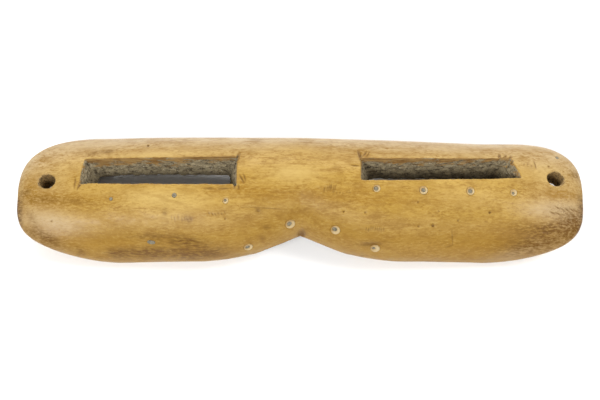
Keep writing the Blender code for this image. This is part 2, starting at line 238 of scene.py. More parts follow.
# Patches of the front, seen from straight in front of it: x, y, half-length, half-width, turn in
# degrees and strength. They are dark stains, brown clouds, places rubbed pale that also carry a
# painted sheen, bright unstained gold ones that also carry a painted highlight, and ones of open
# pores
PATCHES = {
    "stain": [
        (-47.7, 9.0, 1.8, 0.7, 10, 0.55),
        (-44.6, 9.3, 1.4, 0.6, 5, 0.50),
        (-63.6, 0.3, 1.1, 0.8, 0, 0.65),
        (-60.0, -1.9, 4.0, 1.1, -6, 0.45),
        (-52.0, -3.2, 5.0, 0.8, -8, 0.30),
        (-59.0, -10.6, 4.5, 1.1, -24, 0.80),
        (-51.0, -13.4, 1.6, 0.8, -20, 0.50),
        (-42.1, -14.0, 2.4, 0.6, -4, 0.95),
        (-34.5, -14.2, 6.2, 0.8, -2, 1.00),
        (-26.4, -14.8, 3.0, 0.8, -4, 1.00),
        (-26.0, -12.9, 5.0, 0.9, -6, 0.85),
        (-33.5, -11.5, 6.0, 0.6, -2, 0.45),
        (-21.0, -14.6, 5.0, 0.8, 2, 0.80),
        (-31.0, -6.8, 0.5, 0.8, 0, 0.60),
        (-25.7, -8.5, 0.9, 0.9, 45, 0.45),
        (-9.6, -6.9, 0.9, 0.6, 0, 0.50),
        (0.5, -10.1, 1.1, 0.5, 0, 0.80),
        (-7.6, -10.0, 0.8, 0.4, 0, 0.40),
        (-8.7, -11.8, 0.7, 0.4, 0, 0.40),
        (-10.5, 12.0, 1.4, 0.8, 0, 0.30),
        (16.3, -13.1, 3.0, 0.5, 0, 0.50),
        (58.5, -9.0, 7.5, 1.5, 4, 0.85),
        (54.5, -12.2, 8.0, 1.8, 10, 0.80),
        (62.5, -7.5, 3.5, 3.0, 0, 0.60),
        (64.0, -7.6, 1.3, 2.8, 0, 0.85),
        (64.2, 4.9, 1.1, 1.2, 0, 0.50),
        (-62.0, -6.5, 3.0, 0.8, -60, 0.35),
    ],
    "amber": [
        (5.0, -3.2, 15.0, 1.6, 0, 0.75),
        (12.0, -4.6, 12.0, 0.8, -2, 0.70),
        (-12.5, -2.3, 9.0, 1.0, 0, 0.75),
        (-13.2, -0.2, 1.3, 1.6, 0, 0.80),
        (-8.0, -3.6, 5.0, 0.8, 3, 0.60),
        (14.9, 7.2, 1.8, 1.2, 0, 0.80),
        (10.8, 6.1, 1.6, 0.8, 0, 0.55),
        (14.2, -2.2, 1.4, 0.8, 0, 0.60),
        (22.0, -2.6, 9.0, 0.6, 0, 0.45),
        (30.0, -4.5, 12.0, 0.8, 0, 0.50),
        (-24.0, -8.0, 6.0, 1.2, 20, 0.55),
        (-16.0, -10.0, 7.0, 0.9, 8, 0.45),
        (-40.0, -8.0, 8.0, 1.2, -4, 0.35),
        (45.0, -11.0, 9.0, 1.8, 0, 0.55),
        (24.0, -12.5, 12.0, 1.2, 0, 0.40),
        (0.0, -7.2, 8.0, 0.8, 0, 0.35),
        (30.0, 11.6, 24.0, 0.8, -2, 0.45),
        (-30.0, 9.4, 20.0, 0.5, 2, 0.35),
        (8.0, 8.6, 9.0, 0.6, -4, 0.45),
        (-52.5, 3.5, 1.6, 4.0, 0, 0.40),
        (53.5, 1.5, 2.0, 4.5, 0, 0.35),
        (-59.5, -1.8, 5.0, 1.7, -6, 0.95),
        (-51.5, -3.0, 6.0, 1.6, -8, 0.85),
        (-62.5, 1.0, 1.6, 2.6, 0, 0.75),
        (-44.0, -2.8, 3.5, 1.3, 0, 0.60),
        (-55.0, -10.5, 8.0, 2.0, -16, 0.60),
        (-45.0, -11.8, 7.0, 1.4, -6, 0.50),
        (60.5, -0.8, 4.0, 1.5, 4, 0.95),
        (54.0, -10.6, 9.0, 2.6, 6, 0.90),
        (42.0, -13.4, 9.0, 1.2, 4, 0.70),
    ],
    "wear_and_sheen": [
        (-57.5, -7.3, 6.5, 1.9, -12, 0.80),
        (57.8, -4.6, 6.5, 1.7, 6, 0.70),
        (-46.0, 12.0, 9.0, 1.6, 8, 0.45),
        (63.0, -5.0, 2.5, 3.0, 0, 0.50),
        (-20.0, 13.0, 26.0, 1.5, 0, 0.35),
        (30.0, 12.6, 26.0, 1.5, -2, 0.35),
        (50.0, -14.0, 9.0, 1.0, 14, 0.50),
    ],
    "golden_and_highlight": [
        (-1.6, 1.7, 6.5, 2.4, 0, 0.80),
        (-33.0, -3.5, 13.0, 2.4, -6, 0.75),
        (-36.0, 6.9, 14.0, 1.0, 3, 0.50),
        (38.0, -4.0, 9.0, 2.2, 0, 0.35),
        (-53.5, 5.0, 4.0, 2.5, 0, 0.40),
        (56.0, 4.0, 5.0, 3.5, 0, 0.35),
        (-32.0, -8.4, 7.0, 1.6, 0, 0.35),
    ],
    "pores": [
        (61.5, -4.6, 3.8, 3.2, 0, 0.85),
        (57.5, -9.0, 6.0, 1.6, 4, 0.5),
        (-62.5, -4.5, 2.4, 2.4, 0, 0.4),
    ],
}
# Knots, which the grain runs round: x, y, radius and how much they lift the layers
KNOTS = [
    (-42.4, -3.6, 2.4, 0.9),
    (-27.6, -8.8, 2.2, 0.6),
    (43.0, -6.5, 3.6, 0.9),
    (20.5, 9.0, 4.0, 0.5),
    (1.5, -6.0, 3.0, 0.4),
]

TICK_SEED = 5
TICK_HALF_WIDTH = 0.16

# The inlays. Each ring's hole is off its middle by this much along X and towards the brow
CORE_OFFSETS = {
    "nose_1": (-0.16, 0.18),
    "nose_2": (-0.20, 0.22),
    "nose_3": (-0.18, 0.20),
    "nose_4": (-0.32, 0.10),
    "slot_right_1": (-0.12, 0.04),
    "slot_right_2": (-0.02, 0.02),
    "slot_right_3": (-0.06, 0.04),
    "slot_right_4": (-0.20, 0.08),
    "slot_left_1": (-0.06, 0.06),
}
INLAY_SEGMENTS = 40
RING_DEPTH = 0.9
RING_BEVEL = 0.05
RING_TOP_INSET = 0.2
PLUG_DEPTH = 0.85
CORE_GAP = 0.03
POCKET_GAP = -0.05  # the wood has closed on the inlays
INLAY_SHARE = 0.95  # how much of each inlay's size shows
POCKET_DEPTH = 1.0

# Colours, as linear red, green and blue
GOLD = (0.360, 0.215, 0.034)
HONEY = (0.430, 0.272, 0.062)
# Bright gold, for light specks and for the painted highlight patches
BRIGHT = (0.470, 0.325, 0.105)
# A pale tone used as painted sheen, towards the brow edge and the ends
PALE_SHEEN = (0.450, 0.338, 0.195)
UMBER = (0.225, 0.112, 0.012)
AMBER = (0.275, 0.143, 0.016)
# Pale pinkish tone of rubbed places, also used as painted sheen
WORN_AND_SHEEN = (0.440, 0.330, 0.190)
STAIN = (0.125, 0.056, 0.006)
RIM = (0.100, 0.050, 0.020)
SLOT_BROWN = (0.200, 0.100, 0.026)
SLOT_TAN = (0.400, 0.250, 0.090)
# Dark of the slots' torn fibres, also used for painted shade deep in the slots
SLOT_DARK = (0.060, 0.045, 0.025)
SLOT_GREY = (0.340, 0.280, 0.170)
SLOT_SPECK = (0.640, 0.580, 0.440)
SOOT = (0.030, 0.027, 0.025)
SMOKED = (0.090, 0.065, 0.042)
# Pale bone, which also makes the rings' painted highlight, and dirty bone, which also makes their
# painted shade
BONE_PALE_AND_GLINT = (0.440, 0.325, 0.155)
BONE_DIRTY_AND_SHADED = (0.330, 0.205, 0.068)
PLUG_DARK = (0.095, 0.078, 0.045)
PLUG_PALE = (0.215, 0.185, 0.120)
SLANT = (0.0, 0.45, 0.0)  # how much Y each unit of X adds, for scratches on the ends
WOOD_SPECULAR = 0.22
LAYER_HEIGHT = 0.42  # of a year's growth
LAYER_WARP = 2.6
LAYER_TILT = (0.012, -0.05)  # how the layers climb along X and Y

# The studio: a plain white surround, and a soft box on each of its four sides. Places are in metres
WORLD_STRENGTH = 0.50
FLOOR_COLOR = (0.95, 0.95, 0.95, 1.0)
FLOOR_ROUGHNESS = 0.9
FLOOR_SIZE = 1.5
LIGHTS = {
    "front_box": ((0.0, -0.85, 0.95), (1.2, 0.4), 6.5),
    "back_box": ((0.0, 1.00, 0.75), (1.4, 0.4), 12.5),
    "left_box": ((-0.58, -0.60, 1.00), (0.28, 0.28), 8.0),
    "right_box": ((0.75, 0.08, 1.00), (0.28, 0.28), 4.5),
}

# The view
CAMERA_TARGET = Vector((0.0, -0.0006, 0.009))
CAMERA_ELEVATION = 70.0
CAMERA_DISTANCE = 0.6
VIEW_WIDTH = 0.13968  # what the frame's width takes in at the target
IMAGE_WIDTH = 600
SHIFT_DOWN = 3.5  # pixels
SENSOR = 36.0


# ---------------------------------------------------------------- the body's shape


def rounded_end(along, power, squareness):
    """1 before a rounded end, falling to 0 at its tip, for a share along it from 0 to 1."""
    return (1.0 - np.clip(along, 0.0, 1.0) ** power) ** (1.0 / squareness)


def superellipse(share, roundness):
    """Height, from 1 to 0, of a superellipse's quarter at a share of its half-width."""
    return (1.0 - np.clip(np.abs(share), 0.0, 1.0) ** roundness) ** (1.0 / roundness)


def section(x):
    """The cross-section at x: nose-side edge, brow edge, back, widest line and crest."""
    share = np.abs(x) / HALF_LENGTH
    end = np.where(x < 0, LEFT_END, RIGHT_END)
    squareness = np.where(x < 0, LEFT_SQUARENESS, RIGHT_SQUARENESS)
    width = rounded_end((np.abs(x) - HALF_LENGTH + end) / end, END_POWER, squareness)
    off_nose = np.clip(1.0 - np.abs(x - NOSE_X) / NOSE_HALF_WIDTH, 0.0, 1.0)
    sweep = SWEEP * share**2
    low = TIP_Y + (CHEEK_Y + NOSE_DEPTH * off_nose**NOSE_POWER - TIP_Y) * width + sweep
    high = TIP_Y + (BROW_Y + BROW_TAPER * x - TIP_Y) * width + sweep

    past = np.clip((np.abs(x) - FOOT_X) / (HALF_LENGTH - FOOT_X), 0.0, 1.0)
    arched = ARCH * (1.0 - (x / FOOT_X) ** 2)
    back = np.where(np.abs(x) < FOOT_X, arched, TIP_RELIEF * past * past * (3.0 - 2.0 * past))
    thin = rounded_end((np.abs(x) - HALF_LENGTH + TIP_ROUNDING) / TIP_ROUNDING, 2.0, 2.0)
    back = TIP_Z + (back - FOOT_WEAR - TIP_Z) * thin
    crest = TIP_Z + (CREST_Z - BOW * share**BOW_POWER - TIP_Z) * thin
    return low, high, back, back + WIDEST_SHARE * (crest - back), crest


def front_z(x, y):
    """Height of the front surface over a point."""
    low, high, _, widest, crest = section(x)
    across = (y - (low + high) / 2) / ((high - low) / 2)
    return widest + (crest - widest) * superellipse(across, FRONT_ROUNDNESS)


def front_frame(x, y):
    """A matrix at the point of the front surface over (x, y), with its Z along the normal."""
    step = 0.05
    slope_x = (front_z(x + step, y) - front_z(x - step, y)) / (2 * step)
    slope_y = (front_z(x, y + step) - front_z(x, y - step)) / (2 * step)
    normal = Vector((-slope_x, -slope_y, 1.0))
    turn = normal.to_track_quat("Z", "Y").to_matrix().to_4x4()
    return Matrix.Translation((x, y, front_z(x, y))) @ turn


def signed_power(value, power):
    return np.sign(value) * np.abs(value) ** power


def body_rings():
    x = HALF_LENGTH * np.sin(np.radians(np.linspace(-89.4, 89.4, BODY_STATIONS)))[:, None]
    turn = np.linspace(0.0, 2 * math.pi, BODY_SIDES, endpoint=False)[None, :]
    low, high, back, widest, crest = section(x)
    up = np.sin(turn)
    power = np.where(up >= 0, 2.0 / FRONT_ROUNDNESS, 2.0 / BACK_SQUARENESS)
    y = (low + high) / 2 + (high - low) / 2 * signed_power(np.cos(turn), power)
    height = np.where(up >= 0, crest - widest, widest - back)
    z = np.maximum(0.0, widest + height * signed_power(up, power))
    return np.stack(np.broadcast_arrays(x, y, z), axis=-1)


def hollow_rings():
    x = HOLLOW_HALF_LENGTH * np.sin(np.radians(np.linspace(-89.0, 89.0, HOLLOW_STATIONS)))[:, None]
    turn = np.linspace(0.0, 2 * math.pi, HOLLOW_SIDES, endpoint=False)[None, :]
    half_width, ceiling = hollow_section(x)
    power = 2.0 / HOLLOW_SQUARENESS
    y = HOLLOW_Y + half_width * signed_power(np.cos(turn), power)
    z = -HOLLOW_CUT_BELOW + (ceiling + HOLLOW_CUT_BELOW) * signed_power(np.sin(turn), power)
    return np.stack(np.broadcast_arrays(x, y, z), axis=-1)


def wall_at(x):
    """Thickness of the wood in front of the hollow at x."""
    leftwards = np.clip(-x / HOLLOW_HALF_LENGTH, 0.0, 1.0)
    return WALL - LEFT_THINNING * leftwards**THINNING_POWER


def hollow_section(x):
    """The hollow's half-width and the height of its ceiling at x."""
    end = np.abs(x) / HOLLOW_HALF_LENGTH
    half_width = HOLLOW_HALF_WIDTH * rounded_end(end, HOLLOW_END_POWER, HOLLOW_SQUARENESS)
    ceiling = (section(x)[4] - wall_at(x)) * rounded_end(end, HOLLOW_CEILING_POWER, 2.0)
    return half_width, ceiling


def slot_line(slot, x):
    """The y and z of a slot's middle line, on the front surface."""
    y = slot["level"] + slot["climb"] * (CREST_Z - section(x)[4])
    return y, front_z(x, y)


def slot_rings(slot, seed):
    """A slot's cutter, from inside the hollow to past the front, with hand-cut, uneven edges."""
    tilt = math.radians(SLOT_TILT)
    frontwards = np.array((0.0, math.sin(tilt), math.cos(tilt)))
    browwards = np.array((0.0, math.cos(tilt), -math.sin(tilt)))
    middle = (slot["inner"] + slot["outer"]) / 2
    half_length = (slot["outer"] - slot["inner"]) / 2
    outwards = math.copysign(1.0, half_length)
    top, bottom = SLOT_CUT_ABOVE, -DEEPEST_CUT
    corners = ((top, 1), (top, -1), (bottom, -1), (bottom, 1))
    share = np.linspace(-1.0, 1.0, SLOT_STATIONS)
    flare = np.where(share > 0, OUTER_FLARE, INNER_FLARE)
    front_height = np.interp(share, (-1.0, 1.0), slot["heights"])
    rings = []
    for number, (depth, side) in enumerate(corners):
        height = front_height + BACK_NARROWING * depth / WALL
        reach = half_length + outwards * flare * depth / WALL
        if side > 0:
            reach = reach - outwards * slot["slant"] * (share > 0)
        x = middle + share * reach
        y, z = slot_line(slot, x)
        along = np.stack((x, 0 * x, 0 * x), axis=1)
        wander = 0.10 * lattice_noise(along, 5.0, seed + number)
        wander = wander + 0.05 * lattice_noise(along, 1.6, seed + 10 + number)
        point = np.stack((x, y, z), axis=1) + frontwards * depth
        rings.append(point + browwards * (side * (height / 2 + wander))[:, None])
    return np.stack(rings, axis=1)


# ---------------------------------------------------------------- mesh tools


def lattice_noise(points, size, seed):
    """Smooth noise from -1 to 1 at each point, its features about that size."""
    grid = np.asarray(points, float) / np.asarray(size, float)
    cell = np.floor(grid).astype(np.int64)
    part = grid - cell
    blend = part**3 * (part * (part * 6.0 - 15.0) + 10.0)
    total = np.zeros(len(grid))
    for corner in itertools.product((0, 1), repeat=3):
        node = cell + np.array(corner)
        mixed = node[:, 0] * 73856093 ^ node[:, 1] * 19349663 ^ node[:, 2] * 83492791 ^ seed * 40503
        mixed = (mixed ^ (mixed >> 13)) * 1274126177 & 0xFFFFFFFF
        value = ((mixed ^ (mixed >> 16)) & 0xFFFF) / 32767.5 - 1.0
        total += value * np.prod(np.where(corner, blend, 1.0 - blend), axis=1)
    return total


def layered_noise(points, size, seed, layers=3):
    """Noise with finer, weaker layers added."""
    size = np.asarray(size, float)
    total = sum(lattice_noise(points, size / 2**n, seed + 100 * n) / 2**n for n in range(layers))
    return total / sum(1 / 2**n for n in range(layers))


def ramp(value, start, end):
    """0 at start and 1 at end, smoothly."""
    share = np.clip((value - start) / (end - start), 0.0, 1.0)
    return share * share * (3.0 - 2.0 * share)


def loft(rings):
    """A closed bmesh skin over rings, an array of rings by points by 3."""
    skin = bmesh.new()
    rows = [[skin.verts.new(point) for point in ring] for ring in rings]
    for row, following in zip(rows, rows[1:]):
        for i in range(len(row)):
            j = (i + 1) % len(row)
            skin.faces.new((row[i], row[j], following[j], following[i]))
    skin.faces.new(rows[0])
    skin.faces.new(rows[-1])
    return skin


def cone(matrix, bottom, top, bottom_radius, top_radius, segments):
    """A cone about the matrix's Z, from one height along it to another."""
    made = bmesh.new()
    bmesh.ops.create_cone(
        made,
        cap_ends=True,
        segments=segments,
        radius1=bottom_radius,
        radius2=top_radius,
        depth=top - bottom,
    )
    lift = Matrix.Translation((0, 0, (top + bottom) / 2))
    bmesh.ops.transform(made, matrix=matrix @ lift, verts=made.verts)
    return made


def new_object(name, tool, collection=None):
    """An object with the bmesh given, in its own units."""
    bmesh.ops.recalc_face_normals(tool, faces=tool.faces)
    mesh = bpy.data.meshes.new(name)
    tool.to_mesh(mesh)
    tool.free()
    made = bpy.data.objects.new(name, mesh)
    (collection or bpy.context.scene.collection).objects.link(made)
    return made


def applied(made):
    """Replaces an object's mesh with what its modifiers make of it."""
    bpy.context.view_layer.update()
    graph = bpy.context.evaluated_depsgraph_get()
    mesh = bpy.data.meshes.new_from_object(made.evaluated_get(graph))
    old = made.data
    made.modifiers.clear()
    made.data = mesh
    mesh.name = made.name
    bpy.data.meshes.remove(old)


def points_of(mesh):
    points = np.empty(len(mesh.vertices) * 3, np.float32)
    mesh.vertices.foreach_get("co", points)
    return points.reshape(-1, 3).astype(float)


def normals_of(mesh):
    normals = np.empty(len(mesh.vertices) * 3, np.float32)
    mesh.vertex_normals.foreach_get("vector", normals)
    return normals.reshape(-1, 3).astype(float)


def set_points(mesh, points):
    mesh.vertices.foreach_set("co", points.astype(np.float32).ravel())
    mesh.update()


def set_attribute(mesh, name, values):
    attribute = mesh.attributes.new(name, "FLOAT", "POINT")
    attribute.data.foreach_set("value", np.asarray(values, np.float32))


# ---------------------------------------------------------------- where a point of the body is


def regions(points, normals):
    """How far each point belongs to each part of the body, from 0 to 1, by the part's name.

    "depth" is its height over the front, along the slot of its own side.
    """
    x, y, z = points.T
    tilt = math.radians(SLOT_TILT)
    steep = ramp(np.hypot(normals[:, 0], normals[:, 1]), 0.45, 0.7)
    found = {"slot": np.zeros(len(x)), "hole": np.zeros(len(x))}
    for slot in SLOTS.values():
        line_y, line_z = slot_line(slot, x)
        depth = (y - line_y) * math.sin(tilt) + (z - line_z) * math.cos(tilt)
        across = (y - line_y) * math.cos(tilt) - (z - line_z) * math.sin(tilt)
        outwards = math.copysign(1.0, slot["outer"])
        past_inner = (slot["inner"] - x) * outwards - 0.2 * np.clip(-depth, 0.0, None)
        past_outer = (x - slot["outer"]) * outwards
        past_side = np.abs(across) - max(slot["heights"]) / 2
        beside = np.max([past_side, past_inner, past_outer], axis=0)
        near = ramp(beside, 0.9, 0.5) * ramp(depth + wall_at(x), -1.4, -0.4)
        found["slot"] = np.maximum(found["slot"], near * ramp(depth, -0.05, -0.45) * steep)
        found["depth"] = np.where(x * outwards > 0, depth, found.get("depth", depth))

    half_width, ceiling = hollow_section(x)
    outwards = np.abs(y - HOLLOW_Y) / np.maximum(half_width, 0.5)
    upwards = np.clip(z + HOLLOW_CUT_BELOW, 0.0, None) / (ceiling + HOLLOW_CUT_BELOW)
    within = (outwards**HOLLOW_SQUARENESS + upwards**HOLLOW_SQUARENESS) ** (1 / HOLLOW_SQUARENESS)
    within = np.where(np.abs(x) < HOLLOW_HALF_LENGTH, within, 2.0)
    found["hollow"] = ramp(within, 1.08, 1.04) * (1 - found["slot"])

    along_arch = np.clip((y - CHEEK_Y + NOSE_ARCH_START) / NOSE_ARCH_REACH, 0.0, 1.0)
    arch_size = 1.0 - (1.0 - NOSE_ARCH_NARROWING) * along_arch
    from_axis = np.hypot((x - NOSE_X) / NOSE_ARCH_HALF_WIDTH, z / NOSE_ARCH_HEIGHT) / arch_size
    found["arch"] = ramp(from_axis, 1.07, 1.02) * (y < HOLLOW_Y) * (1 - found["hollow"])

    for hole_x, hole_y in HOLES.values():
        down = z - front_z(hole_x, hole_y)
        lean = math.tan(math.radians(math.copysign(HOLE_LEAN, hole_x)))
        away = np.hypot(x - hole_x - down * lean, (y - hole_y) / HOLE_NARROWING)
        radius = HOLE_RADIUS + HOLE_TAPER * np.clip(down, HOLE_CUT[0], 0.0)
        inside = ramp(away - radius, 0.45, 0.2) * ramp(down, 0.1, -0.5)
        found["hole"] = np.maximum(found["hole"], inside)
    cuts = ("slot", "hollow", "arch", "hole")
    found["outside"] = 1.0 - np.max([found[name] for name in cuts], axis=0)
    return found


# ---------------------------------------------------------------- the body


def cutter_shapes():
    """Every shape that is cut from the body, each a bmesh in millimetres."""
    shapes = [loft(hollow_rings())]
    for seed, slot in enumerate(SLOTS.values(), 1):
        shapes.append(loft(slot_rings(slot, 40 * seed)))
    start = Matrix.Translation((NOSE_X, CHEEK_Y - NOSE_ARCH_START, 0.0))
    towards_brow = Matrix.Rotation(math.radians(-90), 4, "X")
    squash = Matrix.Diagonal((1.0, NOSE_ARCH_HEIGHT / NOSE_ARCH_HALF_WIDTH, 1.0, 1.0))
    far = NOSE_ARCH_HALF_WIDTH * NOSE_ARCH_NARROWING
    matrix = start @ towards_brow @ squash
    reach, near = NOSE_ARCH_REACH, NOSE_ARCH_HALF_WIDTH
    shapes.append(cone(matrix, 0.0, reach, near, far, NOSE_ARCH_SEGMENTS))
    for x, y in HOLES.values():
        lean = Matrix.Rotation(math.radians(math.copysign(HOLE_LEAN, x)), 4, "Y")
        narrow = Matrix.Diagonal((1.0, HOLE_NARROWING, 1.0, 1.0))
        matrix = Matrix.Translation((x, y, front_z(x, y))) @ lean @ narrow
        radii = [HOLE_RADIUS + HOLE_TAPER * along for along in HOLE_CUT]
        shapes.append(cone(matrix, *HOLE_CUT, *radii, HOLE_SEGMENTS))
    for x, y, radius, depth in GOUGES:
        matrix, tip = front_frame(x, y), GOUGE_TIP * radius
        shapes.append(cone(matrix, -depth, CUT_ABOVE, tip, radius, GOUGE_SEGMENTS))
    for x, y, half_length, half_width in inlay_places().values():
        widen = Matrix.Diagonal((half_length + POCKET_GAP, half_width + POCKET_GAP, 1.0, 1.0))
        matrix = front_frame(x, y) @ widen
        shapes.append(cone(matrix, -POCKET_DEPTH, CUT_ABOVE, 1.0, 1.0, POCKET_SEGMENTS))
    return shapes


def make_body():
    """The wooden body: cut, rubbed smooth, carved, thinned out, painted with masks, then put in
    metres.
    """
    cutters = bpy.data.collections.new("cutters")
    bpy.context.scene.collection.children.link(cutters)
    for number, shape in enumerate(cutter_shapes()):
        new_object(f"cut_{number}", shape, cutters)
    body = new_object("goggles_body", loft(body_rings()))
    cut = body.modifiers.new("cuts", "BOOLEAN")
    cut.operation = "DIFFERENCE"
    cut.solver = "EXACT"
    cut.operand_type = "COLLECTION"
    cut.collection = cutters
    remesh = body.modifiers.new("remesh", "REMESH")
    remesh.mode = "VOXEL"
    remesh.voxel_size = VOXEL
    wear = body.modifiers.new("wear", "SMOOTH")
    wear.factor = 0.5
    wear.iterations = 2
    applied(body)
    for cutter in list(cutters.objects):
        bpy.data.objects.remove(cutter, do_unlink=True)
    bpy.data.collections.remove(cutters)

    carve(body.data)
    thin_out(body)
    paint_masks(body.data)
    set_points(body.data, points_of(body.data) * MM)
    body.data.shade_smooth()
    return body


def thin_out(body):
    """Brings the mesh down to its most triangles, sparing the front, where fine marks show."""
    upward = normals_of(body.data)[:, 2] > 0.0
    group = body.vertex_groups.new(name="thinned")
    group.add(np.nonzero(upward)[0].tolist(), 0.5, "REPLACE")
    group.add(np.nonzero(~upward)[0].tolist(), 1.0, "REPLACE")
    body.data.calc_loop_triangles()
    thinner = body.modifiers.new("thin_out", "DECIMATE")
    thinner.ratio = min(1.0, MOST_TRIANGLES / len(body.data.loop_triangles))
    thinner.vertex_group = group.name
    thinner.vertex_group_factor = FRONT_SPARING
    applied(body)
    body.vertex_groups.clear()


def near_segment(x, y, x0, y0, x1, y1):
    """Distance of points from the line from (x0, y0) to (x1, y1), and their share along it."""
    along_x, along_y = x1 - x0, y1 - y0
    share = ((x - x0) * along_x + (y - y0) * along_y) / (along_x**2 + along_y**2)
    held = np.clip(share, 0.0, 1.0)
    return np.hypot(x - x0 - held * along_x, y - y0 - held * along_y), held


def all_cuts():
    """The single knife lines, and the marks of each row of ticks."""
    cuts = list(CUTS)
    chance = np.random.default_rng(TICK_SEED)
    for x, y, count, spacing, length, lean, depth in TICKS:
        turn = math.radians(90.0 - lean)
        for number in range(count):
            middle_x = x + (number - (count - 1) / 2) * spacing + chance.normal(0.0, 0.06)
            middle_y = y + chance.normal(0.0, 0.15)
            half = length / 2 * chance.uniform(0.6, 1.1)
            reach_x, reach_y = half * math.cos(turn), half * math.sin(turn)
            ends = (middle_x - reach_x, middle_y - reach_y, middle_x + reach_x, middle_y + reach_y)
            cuts.append((*ends, TICK_HALF_WIDTH, depth * chance.uniform(0.5, 1.2)))
    return cuts


def marks(points, normals):
    """How deep the knife lines, ticks and pits are at each point, and how dark they look."""
    x, y = points[:, 0], points[:, 1]
    depth = np.zeros(len(points))
    dark = np.zeros(len(points))
    wander = 0.08 * lattice_noise(points, 0.9, 71)
    for x0, y0, x1, y1, half_width, cut_depth in all_cuts():
        away, share = near_segment(x + wander, y, x0, y0, x1, y1)
        fade = 0.35 + 0.65 * np.sin(math.pi * np.clip(share, 0.08, 0.92))
        here = ramp(away, half_width * 1.5, half_width * 0.3) * fade
        depth = np.maximum(depth, here * cut_depth)
        dark = np.maximum(dark, here * min(0.9, 0.35 + cut_depth * 4.0))
    for pit_x, pit_y, radius, pit_depth in PITS:
        away = np.hypot(x - pit_x, y - pit_y) + 0.6 * wander
        here = ramp(away, radius * 1.25, radius * 0.4)
        depth = np.maximum(depth, here * pit_depth)
        dark = np.maximum(dark, here * min(1.0, 0.3 + pit_depth * 2.5))
    front = ramp(normals[:, 2], 0.0, 0.2)
    return depth * front, dark * front


def carve(mesh):
    """Moves each point along its normal: hand shaping on the outside, tool marks in the cuts."""
    points, normals = points_of(mesh), normals_of(mesh)
    where = regions(points, normals)
    move = where["outside"] * (
        0.06 * (layered_noise(points, (11.0, 6.0, 6.0), 3, 2) - 1.0)
        + 0.014 * lattice_noise(points, (3.0, 1.5, 1.5), 5)
    )
    rough = ramp(-where["depth"], 0.6, 3.5) * 0.75 + 0.25
    move += where["slot"] * rough * (0.26 * layered_noise(points, (1.1, 0.9, 0.9), 21, 3) - 0.06)
    inside = where["hollow"] + where["arch"]
    move += inside * 0.08 * layered_noise(points, (4.0, 2.0, 2.0), 31, 2)
    move += where["hole"] * 0.10 * layered_noise(points, 0.8, 41, 2)
    move -= where["outside"] * marks(points, normals)[0]
    points += normals * move[:, None]
    points[:, 2] = np.maximum(points[:, 2], 0.0)  # nothing goes under the table
    set_points(mesh, points)


def patch_mask(kind, x, y):
    """How strongly that kind of patch lies over each place on the front, from 0 to 1."""
    clear = np.ones(len(x))
    for patch_x, patch_y, half_length, half_width, turn, strength in PATCHES[kind]:
        cos, sin = math.cos(math.radians(turn)), math.sin(math.radians(turn))
        along = ((x - patch_x) * cos + (y - patch_y) * sin) / half_length
        across = ((y - patch_y) * cos - (x - patch_x) * sin) / half_width
        clear *= 1.0 - strength * np.exp(-0.9 * (along**2 + across**2))
    return 1.0 - clear


def paint_masks(mesh):
    """Gives the mesh the attributes that its material reads."""
    points, normals = points_of(mesh), normals_of(mesh)
    where = regions(points, normals)
    x, y = points[:, 0], points[:, 1]
    low, high = section(x)[:2]
    front = ramp(normals[:, 2], -0.15, 0.25) * where["outside"]
    set_attribute(mesh, "slot", where["slot"])
    set_attribute(mesh, "slot_depth", np.clip(-where["depth"], 0.0, DEEPEST_CUT))
    set_attribute(mesh, "end_wall", where["slot"] * ramp(np.abs(normals[:, 0]), 0.4, 0.8))
    set_attribute(mesh, "hollow", np.maximum(where["hollow"], where["arch"] * ramp(y, -9.5, -4.0)))
    set_attribute(mesh, "arch", where["arch"])
    set_attribute(mesh, "hole", where["hole"])
    set_attribute(mesh, "browwards", (y - (low + high) / 2) / np.maximum(0.1, (high - low) / 2))
    set_attribute(mesh, "endwards", np.abs(x) / HALF_LENGTH)
    set_attribute(mesh, "dark_mark", marks(points, normals)[1] * where["outside"])
    for kind in PATCHES:
        set_attribute(mesh, kind, patch_mask(kind, x, y) * front)
    lift = np.zeros(len(x))
    for knot_x, knot_y, radius, height in KNOTS:
        lift += height * np.exp(-np.hypot(x - knot_x, (y - knot_y) * 1.3) ** 2 / radius**2)
    set_attribute(mesh, "knot_lift", lift)


# ---------------------------------------------------------------- the inlays


def inlay_places():
    """Each inlay's x and y on the front, half its length and half its width, by its name."""
    places = {}
    for node, made in sorted(frame["nodes"].items()):
        kind, _, name = node.partition("_")
        if kind in ("bead", "peg"):
            places[name] = place_of(made)
    return places


def place_of(made):
    """Where a node's own middle line meets the front, and half its length and width there."""
    low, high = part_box(made["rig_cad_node"])
    middle = (low + high) / 2 / MM
    x, y = middle.x, middle.y
    for _ in range(5):
        matrix = front_frame(x, y)
        normal = matrix.to_3x3().col[2]
        out = (matrix.translation - middle).dot(normal)
        x, y = middle.x + normal.x * out, middle.y + normal.y * out
    flat = matrix.inverted()
    local = np.array([flat @ (vertex.co / MM) for vertex in made.data.vertices])
    half_length, half_width = np.ptp(local[:, :2], axis=0) / 2 * INLAY_SHARE
    return x, y, half_length, half_width


def outline(half_length, half_width, seed, middle=(0.0, 0.0), unevenness=0.03):
    """Points round a slightly uneven oval."""
    turn = np.linspace(0.0, 2 * math.pi, INLAY_SEGMENTS, endpoint=False)
    circle = np.stack((np.cos(turn), np.sin(turn), 0 * turn), axis=1)
    size = 1.0 + unevenness * lattice_noise(circle + 9.0, 0.7, seed)
    x = middle[0] + half_length * size * circle[:, 0]
    y = middle[1] + half_width * size * circle[:, 1]
    return np.stack((x, y), axis=1)


